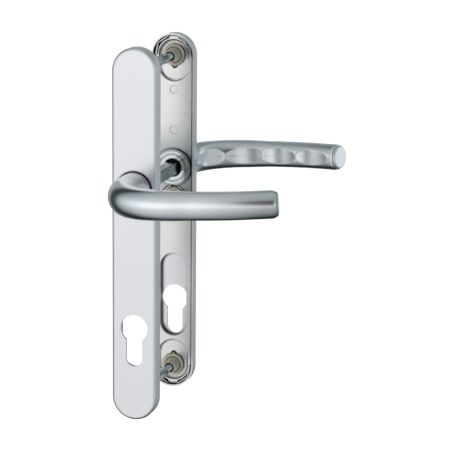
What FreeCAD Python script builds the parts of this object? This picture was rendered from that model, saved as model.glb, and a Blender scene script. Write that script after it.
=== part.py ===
"""Lever-handle set on two long, narrow backplates, punched for a euro profile cylinder.

Frame: the spindle lies along Y and the origin is on its axis, half way through the door.
The outside plate is at -Y and the inside plate at +Y, both levers point to +X, and Z is up.

Each side of the set is built in a local frame of its own: local Y is 0 on the door's face and
grows outwards, away from the door. place() then puts the side on the door. Lengths are millimetres.
"""
import math
import os

import FreeCAD
import Part
from FreeCAD import Vector

# ---------------------------------------------------------------- driving dimensions

# Door and plates
door_thickness = 76.0
plate_length = 245.0
plate_width = 30.0
plate_depth = 9.0
plate_wall = 1.1
plate_skin = 1.8
plate_bevel = 1.1
panel_step = 0.3
panel_ledge = 0.45
panel_round = 0.22

# Places along the plate, as heights from the spindle's axis
plate_centre_height = -31.0
end_screw_inset = 15.0
middle_bush_gap = 1.65
cylinder_height = -92.0
pip_heights = (53.0, 25.5)

# Euro profile cut-out
profile_circle_radius = 9.1
profile_slot_width = 10.8
profile_slot_reach = 25.2

# Base plate, which fills the hollow of the cover
base_recess = 3.0
base_side_gap = 1.4
base_end_gap = 0.2
base_tab_half_angle = 14.0
base_corner_angles = (17.0, 53.5, 86.0)
lip_front = 1.5
lip_thickness = 0.7
trough_depth = 3.2
pocket_wall = 0.8
pocket_length = 28.8
pocket_width = 21.4
pocket_depth = 2.2
pocket_round = 1.6
middle_pocket_reach = 2.25
middle_pocket_depth = 1.0
pip_radius = 2.85
pip_depth = 0.35
window_gap = 0.3
window_above_cylinder = 32.2
window_below_cylinder = 26.2

# Lever bearing
journal_radius = 8.0
bearing_wall = 2.0
bearing_floor = 1.8
bearing_flange_reach = 2.1
bearing_flange_thickness = 0.8
running_gap = 0.05
cover_hole_gap = 0.1
ring_thickness = 0.5
ring_groove_depth = 0.8
ring_stand = 1.0
ring_mouth_half_angle = 22.0

# Spring housing round the spindle
housing_wall = 1.2
housing_top = 0.6
chamber_room = 1.2
guide_ring_front = 0.3
guide_ring_thickness = 1.4
guide_ring_clearance = 0.74
guide_lip_radius = 8.6
guide_lip_width = 1.2
guide_lip_groove = 0.5
driver_thickness = 1.2
driver_rim = 1.0
lug_end_gap = 0.3
lug_half_angle = 12.0
fixed_lug_front = 2.1
spring_wire_radius = 0.45
spring_from_wall = 1.2
spring_turns = 1.1
spring_leg_clear = 0.15
part_gap = 0.1

# Spindle and grub screws
spindle_size = 8.0
spindle_past_door = 28.0
spindle_end_gap = 1.0
spindle_corner = 0.5
grub_radius = 2.5
grub_length = 6.0
grub_socket_size = 2.5
grub_socket_depth = 2.4
grub_from_plate = 8.0

# Lever
lever_reach = 106.0
lever_bend_radius = 34.0
lever_neck_length = 17.5
lever_straight = 10.0
lever_return_radius = 175.0
lever_rise = 2.4
neck_steps = 5
bend_steps = 12
straight_steps = 3
return_steps = 8
section_points = 32
collar_radius = 11.6
neck_radius = 10.7
collar_gap = 0.2
bend_half_height = 9.7
bend_half_depth = 9.2
grip_half_height = 9.1
grip_half_depth = 8.0
tip_half_height = 8.9
tip_half_depth = 8.5
finger_pitch = 25.4
finger_first = 36.8
finger_count = 3
finger_hollow = 1.2
cap_thickness = 2.2
cap_inset = 0.5
cap_round = 0.6
cap_spigot_radius = 5.5
cap_spigot_length = 6.0

# Screw bushes
bush_flange_radius = 7.45
bush_flange_thickness = 2.0
bush_body_radius = 5.4
bush_nose_radius = 3.8
bush_body_length = 2.2
bush_nose_length = 7.3
bush_nose_step = 0.6
bush_seat_gap = 0.2
bush_knurls = 24
knurl_radius = 0.3
knurl_key_angle = 20.0
key_width = 2.8
key_reach = 1.2
key_notch_gap = 0.15
slot_width = 0.8
slot_length = 2.2
slot_depth = 0.7
slot_outset = 0.3
screw_bore_gap = 0.35

# Fixing screws (M5) and the threaded sleeves they enter
screw_radius = 2.45
screw_head_reach = 2.15
screw_head_height = 2.7
screw_head_gap = 0.4
screw_drive_size = 3.0
screw_drive_depth = 1.6
screw_tip_length = 1.0
screw_tip_taper = 0.7
sleeve_wall = 0.95
sleeve_collar_reach = 1.8
sleeve_collar_thickness = 1.6
sleeve_into_door = 58.0
sleeve_bore_past_screw = 2.0
screw_into_sleeve = 14.0
thread_gap = 0.03

# How far pieces of one solid run into each other, and how far a cutter runs past what it cuts
overlap = 0.2
slight_overlap = 0.01
past = 1.0

# ---------------------------------------------------------------- derived places

plate_top = plate_centre_height + plate_length / 2
plate_bottom = plate_centre_height - plate_length / 2
bearing_barrel_radius = journal_radius + bearing_wall
chamber_radius = bearing_barrel_radius + chamber_room
housing_radius = chamber_radius + housing_wall
top_screw_height = plate_top - end_screw_inset
middle_screw_height = -housing_radius - middle_bush_gap - bush_flange_radius
bottom_screw_height = plate_bottom + end_screw_inset
screw_heights = (top_screw_height, middle_screw_height, bottom_screw_height)
screw_names = ("top", "middle", "bottom")

skin_inside = plate_depth - plate_skin
hollow_radius = plate_width / 2 - plate_wall
base_half_width = hollow_radius - base_side_gap
base_end_radius = hollow_radius - base_end_gap
pocket_floor = base_recess + pocket_depth
window_width = 2 * (profile_circle_radius + window_gap)
chamber_floor = skin_inside - bearing_floor
bearing_flange_radius = bearing_barrel_radius + bearing_flange_reach
cover_hole_radius = bearing_flange_radius + cover_hole_gap
bearing_flange_top = skin_inside + bearing_flange_thickness
collar_start = bearing_flange_top + collar_gap
driver_start = guide_ring_front + guide_ring_thickness + 2 * part_gap
driver_end = driver_start + driver_thickness
driver_radius = journal_radius + driver_rim
driver_lug_reach = chamber_radius - lug_end_gap
spring_coil_radius = chamber_radius - spring_from_wall
guide_ring_bore_radius = spindle_size / math.sqrt(2) + guide_ring_clearance
ring_radius = journal_radius + ring_stand
ring_end = chamber_floor - part_gap
ring_start = ring_end - ring_thickness
journal_start = driver_end + part_gap
square_half = spindle_size / 2 + running_gap
key_notch_radius = math.hypot(key_width / 2, key_reach) + key_notch_gap
screw_head_radius = screw_radius + screw_head_reach
head_seat = plate_depth - screw_head_height
head_at_skin = screw_radius + screw_head_reach * (skin_inside - head_seat) / screw_head_height
head_clearance_radius = head_at_skin + screw_head_gap
sleeve_radius = screw_radius + sleeve_wall
sleeve_collar_radius = sleeve_radius + sleeve_collar_reach

y_axis = Vector(0, 1, 0)


# ---------------------------------------------------------------- small shapes

def disc(radius, start, end, x=0.0, z=0.0):
    """A round bar along Y, from start to end."""
    return Part.makeCylinder(radius, end - start, Vector(x, start, z), y_axis)


def cone(radius_start, radius_end, start, end, z=0.0):
    """A tapered round bar along Y."""
    return Part.makeCone(radius_start, radius_end, end - start, Vector(0, start, z), y_axis)


def tube(outer, inner, start, end, z=0.0):
    """A round tube along Y."""
    return disc(outer, start, end, z=z).cut(disc(inner, start - past, end + past, z=z))


def block(width, start, end, low, high, x=0.0):
    """A box centred on x, from start to end along Y and from low to high in height."""
    return Part.makeBox(width, end - start, high - low, Vector(x - width / 2, start, low))


def polar(radius, angle, y, centre_height=0.0):
    """A point at a radius and an angle from straight up, turning towards +X."""
    turn = math.radians(angle)
    return Vector(radius * math.sin(turn), y, centre_height + radius * math.cos(turn))


def stadium(width, low, high, start, end):
    """A prism along Y with straight sides and half-round ends."""
    r = width / 2
    outline = [
        Part.LineSegment(Vector(r, start, low + r), Vector(r, start, high - r)),
        Part.Arc(Vector(r, start, high - r), Vector(0, start, high), Vector(-r, start, high - r)),
        Part.LineSegment(Vector(-r, start, high - r), Vector(-r, start, low + r)),
        Part.Arc(Vector(-r, start, low + r), Vector(0, start, low), Vector(r, start, low + r)),
    ]
    face = Part.Face(Part.Wire([line.toShape() for line in outline]))
    return face.extrude(Vector(0, end - start, 0))


def edges_at(shape, y):
    """The edges of a shape that lie wholly in one plane across Y."""
    box_of = [(edge, edge.BoundBox) for edge in shape.Edges]
    return [edge for edge, box in box_of if abs(box.YMin - y) < 0.01 and abs(box.YMax - y) < 0.01]


def profile_cutter(start, end):
    """The keyhole shape of a euro profile cylinder, as a prism along Y."""
    slot_round = profile_slot_width / 2
    slot_low = cylinder_height - profile_slot_reach
    slot = stadium(profile_slot_width, slot_low, cylinder_height + slot_round, start, end)
    return disc(profile_circle_radius, start, end, z=cylinder_height).fuse(slot).removeSplitter()


# ---------------------------------------------------------------- plates

def cover_plate(with_screw_heads):
    """The outer shell: a thin wall round a hollow back, a bevelled edge and a raised panel."""
    ledge_level = plate_depth - panel_step
    shell = stadium(plate_width, plate_bottom, plate_top, 0, ledge_level)
    shell = shell.makeChamfer(plate_bevel, edges_at(shell, ledge_level))
    inset = plate_bevel + panel_ledge
    panel_width = plate_width - 2 * inset
    panel = stadium(panel_width, plate_bottom + inset, plate_top - inset, ledge_level - overlap, plate_depth)
    panel = panel.makeFillet(panel_round, edges_at(panel, plate_depth))
    shell = shell.fuse(panel)
    hollow = stadium(2 * hollow_radius, plate_bottom + plate_wall, plate_top - plate_wall, -past, skin_inside)
    shell = shell.cut(hollow)
    shell = shell.cut(disc(cover_hole_radius, 0, plate_depth + past))
    shell = shell.cut(profile_cutter(0, plate_depth + past))
    if with_screw_heads:
        for height in screw_heights:
            clear = screw_radius + screw_bore_gap
            shell = shell.cut(disc(clear, 0, plate_depth, z=height))
            seat = cone(clear, screw_head_radius + running_gap, head_seat, plate_depth, z=height)
            shell = shell.cut(seat)
    return shell.removeSplitter()


def round_centre(side):
    """The height of the centre of one of the plate's half-round ends: side 1 is the top, -1 the bottom."""
    return plate_centre_height + side * (plate_length - plate_width) / 2


def base_outline(start, end, inset=0.0):
    """The base plate's prism: straight sides, and ends cut to chords beside a central tab."""
    points = []
    for side in (1, -1):
        centre = round_centre(side)
        angles = list(reversed(base_corner_angles)) + [base_tab_half_angle]
        right = [polar(base_end_radius - inset, angle, start) for angle in angles]
        right[0].x = base_half_width - inset
        left = [Vector(-point.x, start, point.z) for point in reversed(right)]
        points += [Vector(side * p.x, start, centre + side * p.z) for p in right + left]
    face = Part.Face(Part.makePolygon(points + [points[0]]))
    return face.extrude(Vector(0, end - start, 0))


def dished_pocket(side):
    """The cutter for the oblong hollow round an end bush, which reaches further to the plate's middle."""
    outer = end_height(side) + side * pocket_width / 2
    inner = outer - side * pocket_length
    low, high = sorted((inner, outer))
    pocket = stadium(pocket_width, low, high, base_recess - past, pocket_floor)
    return pocket.makeFillet(pocket_round, edges_at(pocket, pocket_floor))


def middle_pocket():
    """The cutter for the shallow dished ring round the middle bush."""
    rim = bush_flange_radius + middle_pocket_reach
    bottom = base_recess + middle_pocket_depth
    bowl = cone(rim, rim - middle_pocket_depth, base_recess, bottom, z=middle_screw_height)
    return bowl.fuse(disc(rim, 0, base_recess, z=middle_screw_height))


def end_height(side):
    """The height of the top screw, side 1, or of the bottom screw, side -1."""
    return top_screw_height if side > 0 else bottom_screw_height


def end_zone(side, start, end):
    """A block that holds one half-round end of the plate, without the central tab."""
    low, high = sorted((round_centre(side), round_centre(side) + side * plate_width))
    zone = block(2 * plate_width, start - past, end + past, low, high)
    tab = 2 * base_end_radius * math.sin(math.radians(base_tab_half_angle))
    return zone.cut(block(tab, start - past, end + past, low, high))


def chord_lips(side):
    """The thin lips that stand on the chords of one end of the base plate."""
    lips = base_outline(lip_front, base_recess + overlap)
    lips = lips.cut(base_outline(lip_front - past, skin_inside, lip_thickness))
    return lips.common(end_zone(side, lip_front, base_recess))


def end_trough(side):
    """The cutter for the trough between the chord lips of one end and the pocket's wall."""
    trough = base_outline(base_recess - past, base_recess + trough_depth, lip_thickness)
    trough = trough.common(end_zone(side, base_recess, skin_inside))
    return trough.cut(disc(pocket_width / 2 + pocket_wall, 0, plate_depth, z=end_height(side)))


def key_angle(height):
    """The key of each bush points to the middle of the plate: down on the top one, else up."""
    return 180.0 if height > middle_screw_height else 0.0


def base_plate():
    """The plate inside the cover, with its pockets, window, pips and spring housing."""
    plate = base_outline(base_recess, skin_inside)
    plate = plate.fuse(disc(housing_radius, housing_top, skin_inside)).removeSplitter()
    for side in (1, -1):
        plate = plate.cut(dished_pocket(side)).cut(end_trough(side))
        for lip in chord_lips(side).Solids:
            plate = plate.fuse(lip)
    plate = plate.cut(middle_pocket())
    plate = plate.cut(disc(bush_flange_radius + bush_seat_gap, 0, pocket_floor, z=middle_screw_height))
    for height in screw_heights:
        plate = plate.cut(disc(screw_radius + screw_bore_gap, 0, plate_depth, z=height))
        notch_at = polar(bush_flange_radius, key_angle(height), 0, height)
        plate = plate.cut(disc(key_notch_radius, 0, plate_depth, z=notch_at.z))
        plate = plate.cut(disc(head_clearance_radius, head_seat - part_gap, plate_depth, z=height))
    for height in pip_heights:
        plate = plate.cut(disc(pip_radius, 0, base_recess + pip_depth, z=height))
    low = cylinder_height - window_below_cylinder
    high = cylinder_height + window_above_cylinder
    plate = plate.cut(stadium(window_width, low, high, 0, plate_depth))
    plate = plate.cut(disc(chamber_radius, 0, chamber_floor))
    plate = plate.cut(disc(bearing_barrel_radius, 0, plate_depth))
    return plate.fuse(fixed_lug()).removeSplitter()


def lug_sector(inner, outer, start, end):
    """A lug that points straight up from the spindle, cut from a ring."""
    ring = tube(outer, inner, start, end)
    reach = outer / math.cos(math.radians(lug_half_angle))
    corners = [Vector(0, start, 0)]
    corners += [polar(reach, angle, start) for angle in (-lug_half_angle, lug_half_angle)]
    wedge = Part.Face(Part.makePolygon(corners + [corners[0]])).extrude(Vector(0, end - start, 0))
    return ring.common(wedge)


def fixed_lug():
    """The stop inside the spring chamber that both legs of the return spring rest on."""
    inner = driver_lug_reach + part_gap
    return lug_sector(inner, chamber_radius + overlap, fixed_lug_front, chamber_floor + overlap)


def guide_ring():
    """The polished ring that closes the spring housing on the door side."""
    ring = tube(chamber_radius, guide_ring_bore_radius, guide_ring_front,
                guide_ring_front + guide_ring_thickness)
    groove = tube(guide_lip_radius + guide_lip_width, guide_lip_radius, guide_ring_front - past,
                  guide_ring_front + guide_lip_groove)
    return ring.cut(groove)


def driver_disc():
    """The square-bored disc that the spindle turns, with a lug between the spring's legs."""
    plate = disc(driver_radius, driver_start, driver_end)
    plate = plate.fuse(lug_sector(driver_radius - overlap, driver_lug_reach, driver_start, driver_end))
    plate = plate.cut(square_hole(driver_start - past, driver_end + past))
    return plate.removeSplitter()


def square_hole(start, end):
    """The clearance square for the spindle."""
    return block(2 * square_half, start, end, -square_half, square_half)


def return_spring():
    """A flat torsion spring round the journal: a short coil and two legs beside the lugs."""
    pitch = 2 * spring_wire_radius + part_gap
    start = driver_end + part_gap + spring_wire_radius
    helix = Part.makeHelix(pitch, pitch * spring_turns, spring_coil_radius)
    profile = Part.Wire(Part.makeCircle(spring_wire_radius, Vector(spring_coil_radius, 0, 0), y_axis))
    spring = Part.Wire(helix).makePipeShell([profile], True, True)
    spring.rotate(Vector(0, 0, 0), Vector(1, 0, 0), -90)
    spring.rotate(Vector(0, 0, 0), y_axis, -90 - 180 * (spring_turns - 1))
    spring.translate(Vector(0, start, 0))
    lead = 180 * (spring_turns - 1)
    for angle, level in ((-lead, start), (lead, start + pitch * spring_turns)):
        foot = polar(spring_coil_radius, angle, driver_start + spring_leg_clear)
        hook = Part.makeCylinder(spring_wire_radius, level - foot.y, foot, y_axis)
        out = polar(spring_coil_radius, angle, level)
        reach = chamber_radius - spring_leg_clear - spring_coil_radius
        stub = Part.makeCylinder(spring_wire_radius, reach, out, polar(1, angle, 0))
        spring = spring.fuse(Part.makeSphere(spring_wire_radius, out)).fuse(hook).fuse(stub)
    return spring.removeSplitter()


def bearing():
    """The flanged plastic bush that the lever turns in."""
    barrel = disc(bearing_barrel_radius, chamber_floor, skin_inside)
    flange = disc(bearing_flange_radius, skin_inside, bearing_flange_top)
    bore = disc(journal_radius + running_gap, 0, plate_depth + past)
    return barrel.fuse(flange).removeSplitter().cut(bore)


def retaining_ring():
    """The open ring that snaps into the journal's groove and holds the lever in."""
    groove_radius = journal_radius - ring_groove_depth
    ring = tube(ring_radius, groove_radius, ring_start, ring_end)
    reach = 2 * ring_radius
    mouth = [Vector(0, ring_start - past, 0)]
    mouth += [polar(reach, 180 + angle, ring_start - past) for angle in
              (-ring_mouth_half_angle, ring_mouth_half_angle)]
    wedge = Part.Face(Part.makePolygon(mouth + [mouth[0]])).extrude(Vector(0, ring_thickness + 2 * past, 0))
    return ring.cut(wedge)


# ---------------------------------------------------------------- lever

def blend(first, last, share):
    """A value part of the way from first to last."""
    return first + (last - first) * share


def lever_path():
    """Stations along the lever: x, y, turn from +Y towards +X, half height and half depth."""
    neck_end = plate_depth + lever_neck_length
    grip_y = neck_end + lever_bend_radius
    straight_end = lever_bend_radius + lever_straight
    stations = []
    for step in range(neck_steps):
        share = step / neck_steps
        radius = blend(collar_radius, neck_radius, share)
        stations.append((0.0, blend(collar_start, neck_end, share), 0.0, radius, radius))
    for step in range(bend_steps):
        share = step / bend_steps
        turn = math.radians(90 * share)
        stations.append((lever_bend_radius * (1 - math.cos(turn)),
                         neck_end + lever_bend_radius * math.sin(turn), 90 * share,
                         blend(neck_radius, bend_half_height, share),
                         blend(neck_radius, bend_half_depth, share)))
    for step in range(straight_steps):
        share = step / straight_steps
        stations.append((blend(lever_bend_radius, straight_end, share), grip_y, 90.0,
                         blend(bend_half_height, grip_half_height, share),
                         blend(bend_half_depth, grip_half_depth, share)))
    tip_turn = math.asin((lever_reach - cap_thickness - straight_end) / lever_return_radius)
    for step in range(return_steps + 1):
        share = step / return_steps
        turn = tip_turn * share
        stations.append((straight_end + lever_return_radius * math.sin(turn),
                         grip_y - lever_return_radius * (1 - math.cos(turn)),
                         90.0 + math.degrees(turn), blend(grip_half_height, tip_half_height, share),
                         blend(grip_half_depth, tip_half_depth, share)))
    return stations


def axes_at(turn):
    """The sideways, upward and forward directions at a station of the lever's path."""
    ahead = Vector(math.sin(math.radians(turn)), math.cos(math.radians(turn)), 0)
    up = Vector(0, 0, 1)
    return up.cross(ahead), up, ahead


def oval_points(x, y, turn, half_height, half_depth):
    """Points round one oval section of the lever, back to where they start."""
    side, up, _ = axes_at(turn)
    centre = Vector(x, y, 0)
    points = []
    for step in range(section_points):
        angle = 2 * math.pi * step / section_points
        points.append(centre + side * (half_depth * math.cos(angle)) + up * (half_height * math.sin(angle)))
    return points + [centre + side * half_depth]


def skinned_solid(stations):
    """A closed solid whose smooth side passes through the section at every station."""
    surface = Part.BSplineSurface()
    surface.interpolate([oval_points(*station) for station in stations])
    first, last, _, _ = surface.bounds()
    ends = [Part.Face(Part.Wire(surface.uIso(u).toShape())) for u in (first, last)]
    shell = Part.Shell([surface.toShape()] + ends)
    shell.sewShape()
    solid = Part.Solid(shell)
    if solid.Volume < 0:
        solid.reverse()
    return solid


def on_tip(shape):
    """Move a shape from the origin, drawn along Z, onto the lever's cut end."""
    x, y, turn, _, _ = lever_path()[-1]
    side, up, ahead = axes_at(turn)
    frame = FreeCAD.Matrix(side.x, up.x, ahead.x, x, side.y, up.y, ahead.y, y,
                           side.z, up.z, ahead.z, 0, 0, 0, 0, 1)
    placed = shape.copy()
    placed.Placement = FreeCAD.Placement(frame).multiply(placed.Placement)
    return placed


def raise_lever(shape):
    """The levers rest slightly above level at their tips."""
    return shape.rotated(Vector(0, 0, 0), y_axis, -lever_rise)


def lever():
    """The lever: journal, collar, neck, bend and grip in one piece, with its sockets."""
    body = skinned_solid(lever_path())
    journal = disc(journal_radius, journal_start, collar_start + overlap)
    body = body.fuse(journal)
    for index in range(finger_count):
        body = body.cut(finger_cutter(finger_first + index * finger_pitch))
    body = raise_lever(body.cut(on_tip(cap_spigot())))
    groove = tube(journal_radius + past, journal_radius - ring_groove_depth,
                  ring_start - running_gap, ring_end + running_gap)
    body = body.cut(groove)
    body = body.cut(square_hole(0, spindle_past_door + spindle_end_gap))
    return body.cut(grub_bore())


def finger_cutter(x):
    """A shallow, wide round cutter for one finger hollow on the side that faces the door."""
    half_pitch = finger_pitch / 2
    radius = (half_pitch ** 2 + finger_hollow ** 2) / (2 * finger_hollow)
    length = 4 * grip_half_height
    cutter = Part.makeCylinder(radius, length, Vector(0, -radius, -length / 2))
    below = finger_hollow + grip_half_depth / 2
    corner = Vector(-half_pitch, -below, -length / 2)
    cutter = cutter.common(Part.makeBox(finger_pitch, below, length, corner))
    straight_end = lever_bend_radius + lever_straight
    grip_y = plate_depth + lever_neck_length + lever_bend_radius
    turn = math.asin(max(0.0, x - straight_end) / lever_return_radius)
    y = grip_y - lever_return_radius * (1 - math.cos(turn)) - grip_half_depth + finger_hollow
    return cutter.rotated(Vector(0, 0, 0), Vector(0, 0, 1), -math.degrees(turn)).translated(Vector(x, y, 0))


def cap_spigot():
    """The plug of the end cap that enters the lever."""
    return Part.makeCylinder(cap_spigot_radius, cap_spigot_length, Vector(0, 0, -cap_spigot_length))


def end_cap():
    """The disc that closes the lever's end, with a rounded edge and a plug behind it."""
    radius = min(tip_half_depth, tip_half_height) - cap_inset
    face = Part.makeCylinder(radius, cap_thickness)
    rim = [edge for edge in face.Edges if edge.BoundBox.ZMin > cap_thickness - slight_overlap]
    face = face.makeFillet(cap_round, rim)
    return raise_lever(on_tip(face.fuse(cap_spigot()).removeSplitter()))


def grub_bore():
    """The hole under the neck that the grub screw is cut into."""
    y = plate_depth + grub_from_plate
    return Part.makeCylinder(grub_radius, collar_radius + past, Vector(0, y, 0), Vector(0, 0, -1))


def grub_screw():
    """The hexagon-socket screw that clamps the lever to the spindle."""
    y = plate_depth + grub_from_plate
    top = -spindle_size / 2 - running_gap
    body = Part.makeCylinder(grub_radius, grub_length, Vector(0, y, top), Vector(0, 0, -1))
    socket = hexagon(grub_socket_size)
    socket = socket.extrude(Vector(0, 0, grub_socket_depth))
    socket.translate(Vector(0, y, top - grub_length))
    return body.cut(socket)


def hexagon(across_flats):
    """A hexagonal face in the XY plane."""
    radius = across_flats / math.sqrt(3)
    corners = [Vector(radius * math.cos(math.radians(60 * k)), radius * math.sin(math.radians(60 * k)), 0)
               for k in range(7)]
    return Part.Face(Part.makePolygon(corners))


# ---------------------------------------------------------------- fixings

def screw_bush(height):
    """The plastic bush that centres a fixing screw in the door: knurled flange, stepped nose."""
    flange_front = pocket_floor - bush_flange_thickness
    body_front = flange_front - bush_body_length
    nose_front = body_front - bush_nose_length
    bush = disc(bush_flange_radius, flange_front, pocket_floor, z=height)
    bush = bush.fuse(disc(bush_body_radius, body_front, flange_front, z=height))
    nose_base = bush_body_radius - bush_nose_step
    bush = bush.fuse(cone(bush_nose_radius, nose_base, nose_front, body_front, z=height))
    side = 1 if key_angle(height) == 0.0 else -1
    near = height + side * bush_body_radius
    far = height + side * (bush_flange_radius + key_reach)
    bush = bush.fuse(block(key_width, flange_front, pocket_floor, min(near, far), max(near, far)))
    bush = bush.removeSplitter()
    for index in range(bush_knurls):
        angle = 360.0 * (index + 0.5) / bush_knurls
        if abs((angle - key_angle(height) + 180) % 360 - 180) > knurl_key_angle:
            at = polar(bush_flange_radius, angle, 0, height)
            bush = bush.cut(disc(knurl_radius, flange_front - past, pocket_floor + past, x=at.x, z=at.z))
    for offset in (-slot_offset(), slot_offset()):
        low = height - slot_width / 2
        high = height + slot_width / 2
        slot = block(slot_length, flange_front - past, flange_front + slot_depth, low, high, x=offset)
        bush = bush.cut(slot)
    bore = disc(screw_radius + screw_bore_gap, nose_front - past, pocket_floor + past, z=height)
    return bush.cut(bore)


def slot_offset():
    """The driver slots sit in the flange, beside the body."""
    return (bush_flange_radius + bush_body_radius) / 2 + slot_outset


def fixing_screw(height):
    """A countersunk M5 screw from the inside plate, through the door, into the outside sleeve."""
    head = cone(screw_radius, screw_head_radius, head_seat, plate_depth, z=height)
    tip = -(door_thickness - sleeve_into_door) - screw_into_sleeve
    shank_start = tip + screw_tip_length
    screw = head.fuse(disc(screw_radius, shank_start, head_seat + slight_overlap, z=height))
    screw = screw.fuse(cone(screw_radius - screw_tip_taper, screw_radius, tip, shank_start, z=height))
    screw = screw.removeSplitter()
    socket = hexagon(screw_drive_size).extrude(Vector(0, 0, screw_drive_depth + past))
    socket.rotate(Vector(0, 0, 0), Vector(1, 0, 0), -90)
    socket.translate(Vector(0, plate_depth - screw_drive_depth, height))
    return screw.cut(socket)


def threaded_sleeve(height):
    """The threaded sleeve of the outside plate, held behind its bush by a collar."""
    flange_front = pocket_floor - bush_flange_thickness
    nose_front = flange_front - bush_body_length - bush_nose_length
    collar_start_y = nose_front - sleeve_collar_thickness
    stem = disc(sleeve_radius, -sleeve_into_door, collar_start_y + slight_overlap, z=height)
    stem = stem.fuse(disc(sleeve_collar_radius, collar_start_y, nose_front, z=height))
    stem = stem.fuse(disc(screw_radius, nose_front - slight_overlap, skin_inside, z=height))
    bore_end = -sleeve_into_door + screw_into_sleeve + sleeve_bore_past_screw
    bore = disc(screw_radius + thread_gap, -sleeve_into_door - past, bore_end, z=height)
    return stem.removeSplitter().cut(bore)


def spindle():
    """The square bar through the lock, from lever to lever, drawn in the set's own frame."""
    end = door_thickness / 2 + spindle_past_door
    bar = block(spindle_size, -end, end, -spindle_size / 2, spindle_size / 2)
    long_edges = [edge for edge in bar.Edges if edge.BoundBox.YLength > end]
    return bar.makeChamfer(spindle_corner, long_edges)


# ---------------------------------------------------------------- assembly

def place(shape, outside):
    """Put a locally drawn piece on its side of the door."""
    half = door_thickness / 2
    if outside:
        return shape.mirror(Vector(0, 0, 0), y_axis).translated(Vector(0, -half, 0))
    return shape.translated(Vector(0, half, 0))


def solid_of(shape):
    """The one solid that a shape holds."""
    return shape.Solids[0] if len(shape.Solids) == 1 else shape


def build():
    """Every node of the set, by name."""
    nodes = {"spindle": spindle()}
    for side in ("outside", "inside"):
        outside = side == "outside"
        pieces = {
            "cover_plate": cover_plate(with_screw_heads=not outside),
            "base_plate": base_plate(),
            "guide_ring": guide_ring(),
            "driver_disc": driver_disc(),
            "return_spring": return_spring(),
            "lever_bearing": bearing(),
            "retaining_ring": retaining_ring(),
            "lever": lever(),
            "end_cap": end_cap(),
            "grub_screw": grub_screw(),
        }
        for name, height in zip(screw_names, screw_heights):
            pieces[name + "_bush"] = screw_bush(height)
        for name, shape in pieces.items():
            nodes[side + "_" + name] = place(shape, outside)
    for name, height in zip(screw_names, screw_heights):
        nodes[name + "_fixing_screw"] = place(fixing_screw(height), False)
        nodes[name + "_threaded_sleeve"] = place(threaded_sleeve(height), True)
    return nodes


os.makedirs("parts", exist_ok=True)
for node_name, node_shape in build().items():
    solid = solid_of(node_shape)
    solid.exportStep("parts/" + node_name + ".step")
    print(node_name, solid.ShapeType, solid.isValid(), round(solid.Volume, 1))
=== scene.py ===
"""Looks for the lever-handle set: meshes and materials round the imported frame, studio and camera.

Sizes are in millimetres and turn into metres where they are used, by MM. Each side of the set has
a local frame in which Y is 0 on the door's face and grows outwards; side_point() places it.
"""
from collections import namedtuple
import math

import bmesh
import bpy
from mathutils import Matrix, Vector


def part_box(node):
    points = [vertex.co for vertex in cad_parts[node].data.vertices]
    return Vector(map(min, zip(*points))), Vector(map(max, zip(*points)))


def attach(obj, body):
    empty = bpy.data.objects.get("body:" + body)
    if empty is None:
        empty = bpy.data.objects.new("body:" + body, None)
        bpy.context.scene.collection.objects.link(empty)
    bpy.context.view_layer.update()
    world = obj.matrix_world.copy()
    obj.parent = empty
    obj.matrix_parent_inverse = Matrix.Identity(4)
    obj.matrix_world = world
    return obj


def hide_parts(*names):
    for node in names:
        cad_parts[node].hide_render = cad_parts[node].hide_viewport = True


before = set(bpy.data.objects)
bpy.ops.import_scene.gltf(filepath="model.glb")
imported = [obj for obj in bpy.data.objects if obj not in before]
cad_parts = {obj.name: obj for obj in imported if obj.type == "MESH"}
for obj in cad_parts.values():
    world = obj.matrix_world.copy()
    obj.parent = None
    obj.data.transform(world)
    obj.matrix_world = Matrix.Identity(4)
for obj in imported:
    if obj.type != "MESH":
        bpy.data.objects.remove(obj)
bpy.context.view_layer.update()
MM = 0.001

# ------------------------------------------------ sizes, in mm, in each side's local frame

DOOR_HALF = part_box("inside_cover_plate")[0].y / MM
PLATE_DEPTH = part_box("inside_cover_plate")[1].y / MM - DOOR_HALF
SCREW_HEIGHTS = {name: sum(c.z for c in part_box(name + "_fixing_screw")) / 2 / MM
                 for name in ("top", "middle", "bottom")}
SIDES = {"inside": 1, "outside": -1}

# Turned pieces keep a bore of this radius where they would close on their axis
AXIS_R = 0.02
# Faces that meet at more than this angle, in degrees, meet in a sharp edge
SHARP_ANGLE, LEVER_SHARP_ANGLE = 32.0, 38.0

# Lever: a turned journal in the plate, a collar, a neck, a bend and a grip that curves back
LEVER_RISE = math.radians(2.4)
JOURNAL_R, JOURNAL_START, JOURNAL_CHAMFER = 8.0, 3.2, 0.3
GROOVE_R, GROOVE_START, GROOVE_END = 7.2, 4.75, 5.35
COLLAR_R, COLLAR_START, COLLAR_CHAMFER = 11.6, 8.2, 0.35
NECK_R = 10.7
NECK_END = PLATE_DEPTH + 17.1
BEND_R = 34.0
BEND_LENGTH = BEND_R * math.pi / 2
STRAIGHT_LENGTH = 10.0
STRAIGHT_END = BEND_R + STRAIGHT_LENGTH
RETURN_R = 175.0
CUT_END_X = 103.8
NECK_STATIONS, GRIP_STATIONS = 12, 250
# The turn is averaged over this length to both sides, in this many steps a side
EASE_LENGTH, EASE_STEPS = 9.0, 6
# (along, grow) steps of the collar's rounded edge; (ahead, inwards) and inwards steps at the tip
COLLAR_EDGE = [(0.12, -0.16), (0.35, -0.03)]
TIP_EDGE = [(0.12, 0.07), (0.24, 0.17), (0.34, 0.3), (0.43, 0.46), (0.5, 0.66)]
TIP_FACE = [1.6, 3.0]
# The last stations draw in by up to this much towards the tip
TIP_STATIONS, TIP_SHRINK = 5, 0.4
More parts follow.
